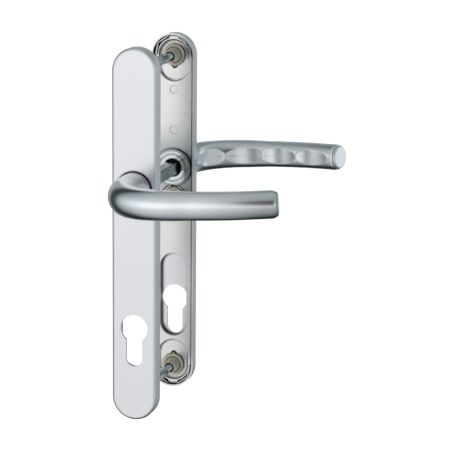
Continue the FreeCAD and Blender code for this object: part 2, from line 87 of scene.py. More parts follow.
# The square bore for the spindle, and the bore for the grub screw below it
BORE_HALF, BORE_END = 4.05, 29.0
GRUB_BORE_R, GRUB_BORE_LENGTH = 2.6, 10.0
GRUB_BORE_Y, GRUB_BORE_Z = PLATE_DEPTH + 8.0, -BORE_HALF - 4.9

# Lever sections: (half height, half depth) after the bend, on the grip and at the tip
BEND_SIZE, GRIP_SIZE, TIP_SIZE = (9.7, 9.2), (9.1, 8.0), (8.9, 8.5)
# Where sections change, as (start, end) shares of the bend or of the straight part and grip
NECK_TO_BEND_DEPTH = (0.0, 0.3)
OVAL_TO_FORMED = (0.05, 0.8)
BEND_TO_GRIP, GRIP_TO_TIP = (0.0, 0.3), (0.15, 1.0)
FORMED_TO_OVAL, OVAL_SHARE_AT_TIP = (0.6, 1.0), 0.75
# A formed section: a crowned front over a flattened top and bottom, and a rounder door side
TOP_DROP = 0.3
FRONT_WIDTH, FRONT_POWER, FRONT_ARC_R = 1.25, 3.0, 11.0
BACK_POWER = 2.25
CREASE_SHARPNESS = 60
SECTION_POINTS = 120

# Finger hollows on the door side: (position along the grip, half length, depth)
HOLLOWS = [(13.5, 9.8, 1.6), (36.8, 12.9, 1.45), (62.2, 12.7, 1.45), (87.6, 12.5, 1.35)]
NO_POSITION = -99.0
RIDGE_SOFTNESS, RIM_SOFTNESS = 0.12, 0.1
# The mould's seam along the door side fades in over these positions
SEAM_WIDTH, SEAM_DEPTH, SEAM_FADE = 0.2, 0.05, (12.0, 20.0)
SEAM_ANGLES = (0.009, 0.018, 0.03)

# End cap, from the cut end of the lever: a stem, a narrow gap and a disc with a rounded edge
CAP_STEM_R, CAP_STEM_START, CAP_STEM_CHAMFER = 5.5, -6.0, 0.3
CAP_GAP_R, CAP_GAP_START, CAP_GAP_END = 7.4, 0.52, 0.75
CAP_R, CAP_BACK_EDGE, CAP_EDGE_START = 7.85, 0.05, 0.9
CAP_FACE_R, CAP_FRONT, CAP_EDGE_END = 6.5, 2.2, 0.04
CAP_EDGE_STEPS, CAP_POINTS = 7, 96
# (radius, behind the front) of the face inside its rounded edge
CAP_FACE = [(6.3, 0.01), (6.0, 0.0), (3.0, 0.0), (AXIS_R, 0.0)]

# Bushes: a knurled flange in the base plate, a dished shoulder ring and a tapered nose
BUSH_BACK = 5.2
BUSH_FLANGE = BUSH_BACK - 2.0
BUSH_NOSE = BUSH_FLANGE - 9.5
BUSH_BORE_R = 2.8
FLANGE_R, FLANGE_EDGE_IN, FLANGE_BACK_EDGE, FLANGE_FRONT_EDGE = 7.3, 0.4, 0.3, 0.35
KNURLS, KNURL_DEPTH, KNURLED_FROM_R = 44, 0.28, 7.2
BUSH_POINTS = 4 * KNURLS
# (radius, beyond the flange's face) and (radius, beyond the nose's end)
SHOULDER = [(6.35, 0.0), (6.15, -0.45), (5.9, -0.55), (5.65, -0.45), (5.5, -0.1),
            (5.35, 0.15), (5.15, 0.1), (4.95, -0.5), (4.75, -2.2), (4.4, -2.6)]
NOSE = [(4.05, 0.5), (3.8, 0.0), (3.4, 0.0), (3.3, 2.4), (BUSH_BORE_R, 2.9)]
KEY_HALF_WIDTH, KEY_ROOT, KEY_REACH = 1.0, 6.6, 7.95
KEY_CORNER_X, KEY_CORNER_Z = 0.45, 0.4
# (along, grow) sections of the key
KEY_SECTIONS = [(BUSH_BACK, -0.15), (BUSH_BACK - 0.2, 0.0),
                (BUSH_FLANGE + 1.35, 0.0), (BUSH_FLANGE + 1.2, -0.2)]

# Screws: M5 countersunk, with a hexagon socket
SCREW_R, SCREW_HEAD_HEIGHT = 2.45, 2.7
SCREW_TIP = [(1.5, 0.0), (1.85, 0.4)]
THREAD_PITCH, THREAD_DEPTH, THREAD_POWER = 0.8, 0.32, 1.2
THREAD_AFTER_TIP, THREAD_BEFORE_SEAT = 0.8, 2.0
THREAD_FADE, THREAD_STEP = 0.6, 0.1
SOCKET_FLATS, SOCKET_MOUTH, SOCKET_DEPTH = 3.0, 3.25, 1.6
HEAD_EDGE, HEAD_EDGE_IN, HEAD_FACE_IN = 0.15, 0.12, 0.2
SCREW_POINTS = 36
SCREW_ANGLES = [2 * math.pi * k / SCREW_POINTS for k in range(SCREW_POINTS)]

# Sleeves: a stem through the outside bush, a collar at its nose and a bored barrel
STEM_R, STEM_CHAMFER = 2.45, 0.25
SLEEVE_COLLAR_R, SLEEVE_COLLAR_LENGTH, SLEEVE_COLLAR_CHAMFER = 5.2, 1.6, 0.3
SLEEVE_R, SLEEVE_END_IN, SLEEVE_END_LENGTH = 3.4, 0.4, 0.45
SLEEVE_BORE_R, SLEEVE_BORE_DEPTH, SLEEVE_BORE_POINT = 2.5, 15.8, 0.1
SLEEVE_MOUTH_OUT, SLEEVE_MOUTH_DEPTH = 0.22, 0.25
SLEEVE_POINTS = 48

ALONG_Y = (Vector((1, 0, 0)), Vector((0, 0, 1)), Vector((0, 1, 0)))


def side_point(point, side):
    """A point in a side's local frame, in mm, as metres in the row frame."""
    return Vector((point[0] * MM, side * (DOOR_HALF + point[1]) * MM, point[2] * MM))


def raised(point):
    """A point turned by the levers' slight rise about the spindle."""
    c, s = math.cos(LEVER_RISE), math.sin(LEVER_RISE)
    return (point[0] * c - point[2] * s, point[1], point[0] * s + point[2] * c)


def blend(a, b, share):
    return a + (b - a) * share


def smooth_step(value, start, end):
    """0 up to start and 1 from end on, easing in and out between them."""
    share = min(1.0, max(0.0, (value - start) / (end - start)))
    return share * share * (3 - 2 * share)


# ------------------------------------------------ mesh helpers

def finish_mesh(bm, name, sharp_angle=SHARP_ANGLE):
    """Make an object of a bmesh: normals outwards, smooth with sharp edges where it turns."""
    bmesh.ops.recalc_face_normals(bm, faces=bm.faces)
    mesh = bpy.data.meshes.new(name)
    bm.to_mesh(mesh)
    bm.free()
    mesh.polygons.foreach_set("use_smooth", [True] * len(mesh.polygons))
    mesh.set_sharp_from_angle(angle=math.radians(sharp_angle))
    obj = bpy.data.objects.new(name, mesh)
    bpy.context.scene.collection.objects.link(obj)
    return obj


def loft(name, loops, side, closed=False, sharp_angle=SHARP_ANGLE):
    """A mesh through loops of as many local points each, capped unless it closes on itself."""
    bm = bmesh.new()
    rings = [[bm.verts.new(side_point(p, side)) for p in loop] for loop in loops]
    pairs = list(zip(rings, rings[1:])) + ([(rings[-1], rings[0])] if closed else [])
    for a, b in pairs:
        for k in range(len(a)):
            bm.faces.new((a[k - 1], a[k], b[k], b[k - 1]))
    if not closed:
        for ring in (rings[0], rings[-1]):
            centre = bm.verts.new(sum((v.co for v in ring), Vector()) / len(ring))
            for k in range(len(ring)):
                bm.faces.new((ring[k - 1], ring[k], centre))
    return finish_mesh(bm, name, sharp_angle)


def turned(name, profile, centre, axis_frame, side, points, ripple=None):
    """(radius, along) pairs revolved about an axis. ripple(radius, angle) may change a radius."""
    sideways, up, ahead = axis_frame
    loops = []
    for radius, along in profile:
        loop = []
        for k in range(points):
            angle = 2 * math.pi * k / points
            r = ripple(radius, angle) if ripple else radius
            across = sideways * (r * math.cos(angle)) + up * (r * math.sin(angle))
            loop.append(tuple(centre + across + ahead * along))
        loops.append(loop)
    return loft(name, loops, side, closed=True)


def rounded(radius_in, radius_out, along_in, along_out, steps):
    """Points round a quarter ellipse, from (radius_out, along_in) to (radius_in, along_out)."""
    points = []
    for k in range(steps + 1):
        a = math.pi / 2 * k / steps
        points.append((radius_in + (radius_out - radius_in) * math.cos(a),
                       along_in + (along_out - along_in) * math.sin(a)))
    return points


def cut_by(obj, cutter):
    """Subtract cutter from obj for good, and remove the cutter."""
    modifier = obj.modifiers.new("cut", "BOOLEAN")
    modifier.operation = "DIFFERENCE"
    modifier.solver = "EXACT"
    modifier.object = cutter
    bpy.context.view_layer.update()
    evaluated = obj.evaluated_get(bpy.context.evaluated_depsgraph_get())
    mesh = bpy.data.meshes.new_from_object(evaluated)
    obj.modifiers.clear()
    obj.data = mesh
    bpy.data.objects.remove(cutter)


def place_piece(obj, body, slot, material, *nodes):
    """Let a piece stand for CAD nodes on a body, with its material; the slot is not used."""
    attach(obj, body)
    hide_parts(*nodes)
    obj.data.materials.clear()
    obj.data.materials.append(material)


# ------------------------------------------------ node helpers

# A rounded normal differs fully from its face's at the first cosine, and not at all at the second
EDGE_COSINE, FLAT_COSINE = 0.8, 0.99


class NodeTree:
    """A node tree with helpers for the chains that the looks and the studio share."""

    def __init__(self, tree):
        self.tree = tree

    def node(self, kind, **values):
        made = self.tree.nodes.new(kind)
        for key, value in values.items():
            setattr(made, key, value)
        return made

    def link(self, a, b):
        self.tree.links.new(a, b)

    def ranged(self, value, low, high, start=0.3, end=0.7, interpolation="LINEAR"):
        """value from start to end, turned into low to high."""
        change = self.node("ShaderNodeMapRange", interpolation_type=interpolation)
        limits = (("From Min", start), ("From Max", end), ("To Min", low), ("To Max", high))
        for key, number in limits:
            change.inputs[key].default_value = number
        self.link(value, change.inputs["Value"])
        return change.outputs["Result"]

    def mixed(self, factor, a, b):
        """A colour from a to b by factor."""
        mix = self.node("ShaderNodeMix", data_type="RGBA")
        self.link(factor, mix.inputs["Factor"])
        for key, colour in (("A", a), ("B", b)):
            socket = [i for i in mix.inputs if i.name == key and i.type == "RGBA"][0]
            if isinstance(colour, tuple):
                socket.default_value = (*colour, 1)
            else:
                self.link(colour, socket)
        return [o for o in mix.outputs if o.type == "RGBA"][0]

    def maths(self, operation, a, b):
        """A Math node on two outputs or plain numbers."""
        node = self.node("ShaderNodeMath", operation=operation)
        for socket, value in zip(node.inputs, (a, b)):
            if isinstance(value, float):
                socket.default_value = value
            else:
                self.link(value, socket)
        return node.outputs[0]


class Look(NodeTree):
    """A Principled material with helpers for the node chains that the materials share."""

    def __init__(self, name, colour, metallic, roughness, **settings):
        self.material = bpy.data.materials.new(name)
        self.material.use_nodes = True
        super().__init__(self.material.node_tree)
        self.shader = self.tree.nodes["Principled BSDF"]
        self.shader.inputs["Base Color"].default_value = (*colour, 1)
        self.shader.inputs["Metallic"].default_value = metallic
        self.shader.inputs["Roughness"].default_value = roughness
        for key, value in settings.items():
            self.shader.inputs[key.replace("_", " ")].default_value = value
        self.coordinates = self.node("ShaderNodeTexCoord").outputs["Object"]

    def noise(self, per_mm, stretch=(1, 1, 1), detail=2.0):
        """Noise with about per_mm features a millimetre, squeezed along the axes by stretch."""
        mapping = self.node("ShaderNodeMapping")
        mapping.inputs["Scale"].default_value = [s * per_mm / MM for s in stretch]
        texture = self.node("ShaderNodeTexNoise")
        texture.inputs["Scale"].default_value = 1.0
        texture.inputs["Detail"].default_value = detail
        self.link(self.coordinates, mapping.inputs["Vector"])
        self.link(mapping.outputs["Vector"], texture.inputs["Vector"])
        return texture.outputs["Fac"]

    def soft_edges(self, radius_mm):
        """Normals that round the edges by radius_mm, and how much they differ from the faces'."""
        bevel = self.node("ShaderNodeBevel", samples=4)
        bevel.inputs["Radius"].default_value = radius_mm * MM
        face = self.node("ShaderNodeNewGeometry")
        product = self.node("ShaderNodeVectorMath", operation="DOT_PRODUCT")
        self.link(bevel.outputs["Normal"], product.inputs[0])
        self.link(face.outputs["Normal"], product.inputs[1])
        differing = self.ranged(product.outputs["Value"], 1.0, 0.0, EDGE_COSINE, FLAT_COSINE)
        return bevel.outputs["Normal"], differing

    def open_share(self, reach_mm, shut=0.5, clear=0.88):
        """1 in the open, towards 0 in gaps and corners narrower than reach_mm."""
        near = self.node("ShaderNodeAmbientOcclusion", samples=8)
        near.inputs["Distance"].default_value = reach_mm * MM
        return self.ranged(near.outputs["AO"], 0.0, 1.0, shut, clear)

    def from_spindle(self, near_mm, far_mm):
        """0 up to near_mm from the spindle's axis, which is the frame's Y axis, to 1 at far_mm."""
        flat = self.node("ShaderNodeVectorMath", operation="MULTIPLY")
        flat.inputs[1].default_value = (1.0, 0.0, 1.0)
        self.link(self.coordinates, flat.inputs[0])
        length = self.node("ShaderNodeVectorMath", operation="LENGTH")
        self.link(flat.outputs["Vector"], length.inputs[0])
        return self.ranged(length.outputs["Value"], 0.0, 1.0, near_mm * MM, far_mm * MM, "SMOOTHSTEP")

    def bump(self, height, depth_mm, strength, normal):
        """Normals with the relief of height, up to depth_mm deep, on top of normal."""
        bump = self.node("ShaderNodeBump")
        bump.inputs["Distance"].default_value = depth_mm * MM
        bump.inputs["Strength"].default_value = strength
        self.link(height, bump.inputs["Height"])
        self.link(normal, bump.inputs["Normal"])
        return bump.outputs["Normal"]

    def set(self, **links):
        """Link outputs to the shader's sockets, and return the finished material."""
        for key, output in links.items():
            self.link(output, self.shader.inputs[key.replace("_", " ")])
        return self.material


# ------------------------------------------------ materials

# Metals: clouds of uneven gloss, fine grain, and stains where a metal has them
CLOUDS_PER_MM, CLOUD_SHADE = 0.06, 0.97
GRAIN_SHADE, GRAIN_SHARE = 0.92, 0.2
STAINS_PER_MM, STAIN_START, STAIN_END = 0.9, 0.38, 0.62
# Painted shade darkens gaps and corners narrower than this, in mm
METAL_GAP = 3.0
# Painted shade darkens the base plates round the spindle, from here to here
HUB_NEAR, HUB_FAR = 8.0, 34.0

# Plastics: mottled, with a fine texture from the mould, and painted shade in gaps
PLASTIC_IOR = 1.5
PLASTIC_EDGE = 0.12
MOTTLES_PER_MM, GLOSS_PER_MM, TEXTURE_PER_MM = 0.5, 2.0, 6.0
TEXTURE_DEPTH, TEXTURE_STRENGTH = 0.012, 0.8
PLASTIC_SPREAD = 0.07
# Rounded edges are lighter by these, a painted highlight
EDGE_GAIN, EDGE_LIFT = 1.12, 0.01
PLASTIC_GAP, PLASTIC_SHUT, PLASTIC_CLEAR, PLASTIC_GAP_SHADE = 1.6, 0.3, 0.75, 0.3


def shaded(colour, share):
    return tuple(c * share for c in colour)


def metal(name, colour, wear_and_highlight, roughness, spread, grain_per_mm, grain_depth,
          stretch=(1, 1, 1), edge=0.1, gap_shade=0.14, stain=None, spindle_shade=None):
    """A metal with fine grain, uneven gloss, rounded edges painted lighter as wear and highlight,
    painted shade in narrow gaps and, if asked, round the spindle.
    """
    look = Look(name, colour, 1.0, roughness)
    normal, edges = look.soft_edges(edge)
    grain = look.noise(grain_per_mm, stretch)
    clouds = look.noise(CLOUDS_PER_MM, detail=4.0)
    body = look.mixed(look.ranged(clouds, 0.0, 1.0), shaded(colour, CLOUD_SHADE), colour)
    if stain:
        stains = look.noise(STAINS_PER_MM, detail=6.0)
        body = look.mixed(look.ranged(stains, 0.0, 1.0, STAIN_START, STAIN_END), body, stain)
    # Painted shade: the base colour darkens round the spindle
    if spindle_shade:
        body = look.mixed(look.from_spindle(HUB_NEAR, HUB_FAR), spindle_shade, body)
    grained = look.mixed(look.ranged(grain, 0.0, GRAIN_SHARE), body, shaded(colour, GRAIN_SHADE))
    # Rounded edges take a lighter colour, partly wear and partly a painted highlight
    surface = look.mixed(edges, grained, wear_and_highlight)
    # Painted shade: the base colour darkens in gaps and corners narrower than METAL_GAP
    return look.set(
        Base_Color=look.mixed(look.open_share(METAL_GAP), shaded(colour, gap_shade), surface),
        Roughness=look.ranged(clouds, roughness - spread, roughness + spread),
        Normal=look.bump(grain, grain_depth, 1.0, normal),
    )


def plastic(name, colour, dark, roughness):
    """A moulded plastic with slight mottling, a fine moulded texture, a painted highlight on rounded
    edges and painted shade in narrow gaps.
    """
    look = Look(name, colour, 0.0, roughness, IOR=PLASTIC_IOR)
    normal, edges = look.soft_edges(PLASTIC_EDGE)
    mottle = look.ranged(look.noise(MOTTLES_PER_MM, detail=5.0), 0.0, 1.0)
    # Rounded edges are painted lighter: a painted highlight
    lit = tuple(min(1.0, c * EDGE_GAIN + EDGE_LIFT) for c in colour)
    body = look.mixed(edges, look.mixed(mottle, dark, colour), lit)
    # Painted shade: the base colour darkens in gaps narrower than PLASTIC_GAP
    opened = look.open_share(PLASTIC_GAP, PLASTIC_SHUT, PLASTIC_CLEAR)
    gloss = look.noise(GLOSS_PER_MM)
    return look.set(
        Base_Color=look.mixed(opened, shaded(dark, PLASTIC_GAP_SHADE), body),
        Roughness=look.ranged(gloss, roughness - PLASTIC_SPREAD, roughness + PLASTIC_SPREAD),
        Normal=look.bump(look.noise(TEXTURE_PER_MM), TEXTURE_DEPTH, TEXTURE_STRENGTH, normal),
    )


satin = metal(
    "satin_aluminium_look", colour=(0.80, 0.81, 0.83), wear_and_highlight=(0.92, 0.93, 0.94), roughness=0.30,
    spread=0.02, grain_per_mm=9.0, grain_depth=0.0010, stretch=(1, 1, 0.04), edge=0.05)
lever_satin = metal(
    "satin_lever_look", colour=(0.835, 0.865, 0.89), wear_and_highlight=(0.90, 0.91, 0.93), roughness=0.24,
    spread=0.01, grain_per_mm=7.0, grain_depth=0.0006, edge=0.05, gap_shade=0.3)
base_metal = metal(
    "die_cast_base_look", colour=(0.80, 0.795, 0.795), wear_and_highlight=(0.97, 0.97, 0.96), roughness=0.26,
    spread=0.03, grain_per_mm=3.0, grain_depth=0.002, gap_shade=0.06, spindle_shade=(0.36, 0.40, 0.41))
ring_metal = metal(
    "polished_ring_look", colour=(0.62, 0.67, 0.70), wear_and_highlight=(0.95, 0.96, 0.96), roughness=0.10,
    spread=0.03, grain_per_mm=5.0, grain_depth=0.001, gap_shade=0.06)
dark_steel = metal(
    "dark_steel_look", colour=(0.06, 0.065, 0.07), wear_and_highlight=(0.12, 0.12, 0.12), roughness=0.45,
    spread=0.05, grain_per_mm=5.0, grain_depth=0.002)
cap_metal = metal(
    "turned_cap_look", colour=(0.94, 0.94, 0.95), wear_and_highlight=(0.97, 0.97, 0.97), roughness=0.42,
    spread=0.04, grain_per_mm=9.0, grain_depth=0.002)
zinc_metal = metal(
    "blue_zinc_look", colour=(0.56, 0.68, 0.71), wear_and_highlight=(0.80, 0.87, 0.88), roughness=0.17,
    spread=0.05, grain_per_mm=4.0, grain_depth=0.003)
spindle_metal = metal(
    "spindle_zinc_look", colour=(0.52, 0.565, 0.50), wear_and_highlight=(0.70, 0.73, 0.64), roughness=0.25,
    spread=0.08, grain_per_mm=2.5, grain_depth=0.008, stain=(0.2, 0.3, 0.29))
spring_metal = metal(
    "spring_steel_look", colour=(0.35, 0.35, 0.36), wear_and_highlight=(0.5, 0.5, 0.5), roughness=0.3,
    spread=0.05, grain_per_mm=6.0, grain_depth=0.002)
black_plastic = plastic(
    "bearing_plastic_look", colour=(0.018, 0.019, 0.021), dark=(0.012, 0.012, 0.014), roughness=0.42)
taupe_plastic = plastic(
    "bush_nylon_look", colour=(0.43, 0.40, 0.315), dark=(0.37, 0.345, 0.27), roughness=0.42)

# The look of each CAD node, by the longest of these that its name ends with
NODE_LOOKS = {
    "cover_plate": satin, "base_plate": base_metal, "guide_ring": ring_metal,
    "driver_disc": dark_steel, "return_spring": spring_metal, "lever_bearing": black_plastic,
    "retaining_ring": spring_metal, "lever": lever_satin, "end_cap": cap_metal,
    "grub_screw": zinc_metal, "bush": taupe_plastic, "fixing_screw": zinc_metal,
    "threaded_sleeve": zinc_metal, "spindle": spindle_metal,
}
for node_name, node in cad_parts.items():
    kind = max((k for k in NODE_LOOKS if node_name.endswith(k)), key=len)
    node.data.materials.clear()
    node.data.materials.append(NODE_LOOKS[kind])


# ------------------------------------------------ levers

# One section of a lever: its centre, the turn in degrees, half height, half depth, how far it is
# formed from 0, an oval, to 1, and the position along the grip that the finger hollows go by
Station = namedtuple("Station", "x y turn height depth shape position")


def lever_heading(along):
    """The turn in degrees of the lever's centre line, at a length along it from the neck's end."""
    if along < BEND_LENGTH:
        return max(0.0, math.degrees(along / BEND_R))
    return 90.0 + math.degrees(max(0.0, along - BEND_LENGTH - STRAIGHT_LENGTH) / RETURN_R)


def eased_heading(along):
    """The turn, averaged over a short length on both sides so that reflections run on smoothly."""
    reach = min(EASE_LENGTH, max(0.0, along))
    offsets = [reach * (k / EASE_STEPS - 1) for k in range(2 * EASE_STEPS + 1)]
    return sum(lever_heading(along + offset) for offset in offsets) / len(offsets)


def section_size(bend, grip):
    """Half height and half depth, by the shares of the bend and of the straight part and grip."""
    if bend < 1.0:
        depth_share = smooth_step(bend, *NECK_TO_BEND_DEPTH)
        return blend(NECK_R, BEND_SIZE[0], bend), blend(NECK_R, BEND_SIZE[1], depth_share)
    first = smooth_step(grip, *BEND_TO_GRIP)
    last = smooth_step(grip, *GRIP_TO_TIP)
    return tuple(blend(blend(BEND_SIZE[k], GRIP_SIZE[k], first), TIP_SIZE[k], last) for k in (0, 1))


def lever_stations():
    """Stations along the lever, from its collar to its cut end."""
    stations = []
    for k in range(NECK_STATIONS):
        share = k / NECK_STATIONS
        radius = blend(COLLAR_R, NECK_R, share)
        y = blend(COLLAR_START, NECK_END, share)
        stations.append(Station(0.0, y, 0.0, radius, radius, 0.0, NO_POSITION))
    inner_r = BEND_R - BEND_SIZE[1]
    return_length = RETURN_R * math.asin((CUT_END_X - STRAIGHT_END) / RETURN_R)
    length = BEND_LENGTH + STRAIGHT_LENGTH + return_length
    step = length / GRIP_STATIONS
    x, y = 0.0, NECK_END
    for k in range(GRIP_STATIONS + 1):
        along = k * step
        bend = along / BEND_LENGTH
        grip = (along - BEND_LENGTH) / (length - BEND_LENGTH)
        height, depth = section_size(bend, grip)
        unformed = OVAL_SHARE_AT_TIP * smooth_step(grip, *FORMED_TO_OVAL)
        shape = smooth_step(bend, *OVAL_TO_FORMED) * (1.0 - unformed)
        # In the bend, the position runs on along its inner side
        position = BEND_R - inner_r * math.pi / 2 * (1 - bend) if bend < 1.0 else x
        stations.append(Station(x, y, eased_heading(along), height, depth, shape, position))
        middle = math.radians(eased_heading(along + step / 2))
        x += step * math.sin(middle)
        y += step * math.cos(middle)
    return stations


def axes_at(turn):
    """Sideways (away from the door on the grip), up and ahead at a station."""
    c, s = math.cos(math.radians(turn)), math.sin(math.radians(turn))
    return Vector((-c, s, 0)), Vector((0, 0, 1)), Vector((s, c, 0))


def superellipse(c, s, a, b, power):
    return (abs(c / a) ** power + abs(s / b) ** power) ** (-1 / power)


def section_radius(angle, height, depth, shape):
    """The radius at an angle of a section between an oval and the formed one with its creases."""
    c, s = math.cos(angle), math.sin(angle)
    oval = superellipse(c, s, depth, height, 2)
    if shape == 0.0:
        return oval
    top = height - TOP_DROP
    if c >= 0:
        body = superellipse(c, s, FRONT_WIDTH * depth, top, FRONT_POWER)
        middle = depth - FRONT_ARC_R
        crown = c * middle + math.sqrt(c * c * middle * middle + FRONT_ARC_R ** 2 - middle ** 2)
        formed = (body ** -CREASE_SHARPNESS + crown ** -CREASE_SHARPNESS) ** (-1 / CREASE_SHARPNESS)
    else:
        formed = superellipse(c, s, depth, top, BACK_POWER)
    return blend(oval, formed, shape)


def section_angles():
    """Angles round a section, with extra ones beside the seam on the door side."""
    angles = [2 * math.pi * k / SECTION_POINTS for k in range(SECTION_POINTS)]
    extra = [math.pi + sign * step for sign in (-1, 1) for step in SEAM_ANGLES]
    return sorted(angles + extra)


def finger_cut(position):
    """How deep the finger hollows go at a position; negative where there is none."""
    depths = [depth * (1 - ((position - centre) / half) ** 2) for centre, half, depth in HOLLOWS]
    deepest = max(depths)
    total = sum(math.exp((d - deepest) / RIDGE_SOFTNESS) for d in depths)
    return deepest + RIDGE_SOFTNESS * math.log(total)


def lever_loop(station, grow=0.0, details=True):
    """The points of one section, grown a little; details are the finger hollows and the seam."""
    sideways, up, _ = axes_at(station.turn)
    centre = Vector((station.x, station.y, 0))
    cut_level = finger_cut(station.position) - station.depth
    seam = SEAM_DEPTH * smooth_step(station.position, *SEAM_FADE)
    loop = []
    for angle in section_angles():
        r = section_radius(angle, station.height + grow, station.depth + grow, station.shape)
        d, u = r * math.cos(angle), r * math.sin(angle)
        if d < 0 and details:
            d = (d + cut_level + math.sqrt((d - cut_level) ** 2 + RIM_SOFTNESS ** 2)) / 2
            d += seam * math.exp(-(u / SEAM_WIDTH) ** 2)
        loop.append(raised(tuple(centre + sideways * d + up * u)))
    return loop


def round_loop(radius, y):
    """A round loop, raised as the lever is, whose points match a section's points."""
    return [raised((-radius * math.cos(a), y, radius * math.sin(a))) for a in section_angles()]


def square_loop(half, y):
    """A level square loop whose points match a section's points."""
    loop = []
    for a in section_angles():
        r = half / max(abs(math.cos(a)), abs(math.sin(a)))
        loop.append((-r * math.cos(a), y, r * math.sin(a)))
    return loop


def build_lever(side_name):
    """A lever from its square bore, over the journal and collar, to the rounded cut end."""
    side = SIDES[side_name]
    loops = [square_loop(BORE_HALF, BORE_END), square_loop(BORE_HALF, JOURNAL_START)]
    journal = [(JOURNAL_R - JOURNAL_CHAMFER, JOURNAL_START),
               (JOURNAL_R, JOURNAL_START + JOURNAL_CHAMFER), (JOURNAL_R, GROOVE_START),
               (GROOVE_R, GROOVE_START), (GROOVE_R, GROOVE_END), (JOURNAL_R, GROOVE_END),
               (JOURNAL_R, COLLAR_START), (COLLAR_R - COLLAR_CHAMFER, COLLAR_START)]
    loops += [round_loop(radius, y) for radius, y in journal]
    stations = lever_stations()
    for along, grow in COLLAR_EDGE:
        edge = stations[0]._replace(y=COLLAR_START + along)
        loops.append(lever_loop(edge, grow, details=False))
    for index, station in enumerate(stations[1:], 1):
        near_tip = max(0.0, 1 - (len(stations) - 1 - index) / TIP_STATIONS)
        loops.append(lever_loop(station, -TIP_SHRINK * near_tip ** 2))
    last = stations[-1]
    ahead = axes_at(last.turn)[2]
    for along, inwards in TIP_EDGE:
        tip = last._replace(x=last.x + ahead.x * along, y=last.y + ahead.y * along)
        loops.append(lever_loop(tip, -TIP_SHRINK - inwards))
    loops += [lever_loop(tip, -inwards, details=False) for inwards in TIP_FACE]
    lever = loft(side_name + "_lever_body", loops, side, sharp_angle=LEVER_SHARP_ANGLE)
    bpy.ops.mesh.primitive_cylinder_add(
        vertices=48, radius=GRUB_BORE_R * MM, depth=GRUB_BORE_LENGTH * MM)
    cutter = bpy.context.object
    cutter.location = side_point((0, GRUB_BORE_Y, GRUB_BORE_Z), side)
    cut_by(lever, cutter)
    lever.data.set_sharp_from_angle(angle=math.radians(LEVER_SHARP_ANGLE))
    place_piece(lever, side_name + "_handle", "satin_aluminium", lever_satin, side_name + "_lever")


def build_cap(side_name):
    """The end cap: a thin disc with a rounded edge and a shadow gap behind it."""
    last = lever_stations()[-1]
    tilt = [Vector(raised(tuple(v))) for v in axes_at(last.turn)]
    centre = Vector(raised((last.x, last.y, 0)))
    profile = [(AXIS_R, CAP_STEM_START), (CAP_STEM_R - CAP_STEM_CHAMFER, CAP_STEM_START),
               (CAP_STEM_R, CAP_STEM_START + CAP_STEM_CHAMFER), (CAP_STEM_R, CAP_GAP_START),
               (CAP_GAP_R, CAP_GAP_START), (CAP_GAP_R, CAP_GAP_END),
               (CAP_R, CAP_GAP_END + CAP_BACK_EDGE)]
    edge_end = CAP_FRONT - CAP_EDGE_END
    profile += rounded(CAP_FACE_R, CAP_R, CAP_EDGE_START, edge_end, CAP_EDGE_STEPS)
    profile += [(radius, CAP_FRONT - behind) for radius, behind in CAP_FACE]
    cap = turned(side_name + "_cap_disc", profile, centre, tilt, SIDES[side_name], CAP_POINTS)
    place_piece(cap, side_name + "_handle", "bright_cap", cap_metal, side_name + "_end_cap")


for side_name in SIDES:
    build_lever(side_name)
    build_cap(side_name)


# ------------------------------------------------ bushes, screws and sleeves

def bush_ripple(radius, angle):
    """The knurled edge of a bush's flange."""
    if radius < KNURLED_FROM_R:
        return radius
    return radius - KNURL_DEPTH * (0.5 + 0.5 * math.cos(KNURLS * angle)) ** 2


def build_bush(side_name, name, height):
    """A moulded bush with a through bore, and its key: down on the top bush, up on the others."""
    node = side_name + "_" + name + "_bush"
    side = SIDES[side_name]
    profile = [(BUSH_BORE_R, BUSH_BACK), (FLANGE_R - FLANGE_EDGE_IN, BUSH_BACK),
               (FLANGE_R, BUSH_BACK - FLANGE_BACK_EDGE), (FLANGE_R, BUSH_FLANGE + FLANGE_FRONT_EDGE),
               (FLANGE_R - FLANGE_EDGE_IN, BUSH_FLANGE)]
    profile += [(radius, BUSH_FLANGE + beyond) for radius, beyond in SHOULDER]
    profile += [(radius, BUSH_NOSE + beyond) for radius, beyond in NOSE]
    centre = Vector((0, 0, height))
    bush = turned(node + "_moulding", profile, centre, ALONG_Y, side, BUSH_POINTS, bush_ripple)
    toward = -1 if name == "top" else 1
    loops = []
    for y, grow in KEY_SECTIONS:
        w, r = KEY_HALF_WIDTH + grow, KEY_REACH + grow
        outline = [(-w, KEY_ROOT), (w, KEY_ROOT), (w, r - KEY_CORNER_Z), (w - KEY_CORNER_X, r),
                   (KEY_CORNER_X - w, r), (-w, r - KEY_CORNER_Z)]
        loops.append([(x, y, height + toward * z) for x, z in outline])
    lug = loft(node + "_key", loops, side)
    for piece in (bush, lug):
        place_piece(piece, "plates", "bush_plastic", taupe_plastic, node)


def about_screw(radius, angle, y, height):
    """A point at an angle round a screw's axis."""
    return (radius * math.cos(angle), y, height + radius * math.sin(angle))


def circle(radius, y, height):
    """A loop round a screw's axis."""
    return [about_screw(radius, angle, y, height) for angle in SCREW_ANGLES]


def hexagon(flats, y, height):
    """A loop round a hexagon of this size across its flats."""
    loop = []
    for angle in SCREW_ANGLES:
        radius = flats / 2 / math.cos(angle % (math.pi / 3) - math.pi / 6)
        loop.append(about_screw(radius, angle, y, height))
    return loop


def threaded(start, end, height):
    """Loops of a screw's shank whose radius follows a helical V thread, fading at both ends."""
    loops = []
    count = int((end - start) / THREAD_STEP)
    for k in range(count + 1):
        y = start + (end - start) * k / count
        fade = min(1.0, min(y - start, end - y) / THREAD_FADE)
        loop = []
        for angle in SCREW_ANGLES:
            phase = (y / THREAD_PITCH - angle / (2 * math.pi)) % 1.0
            cut = THREAD_DEPTH * (1 - abs(2 * phase - 1)) ** THREAD_POWER * fade
            loop.append(about_screw(SCREW_R - cut, angle, y, height))
        loops.append(loop)
    return loops


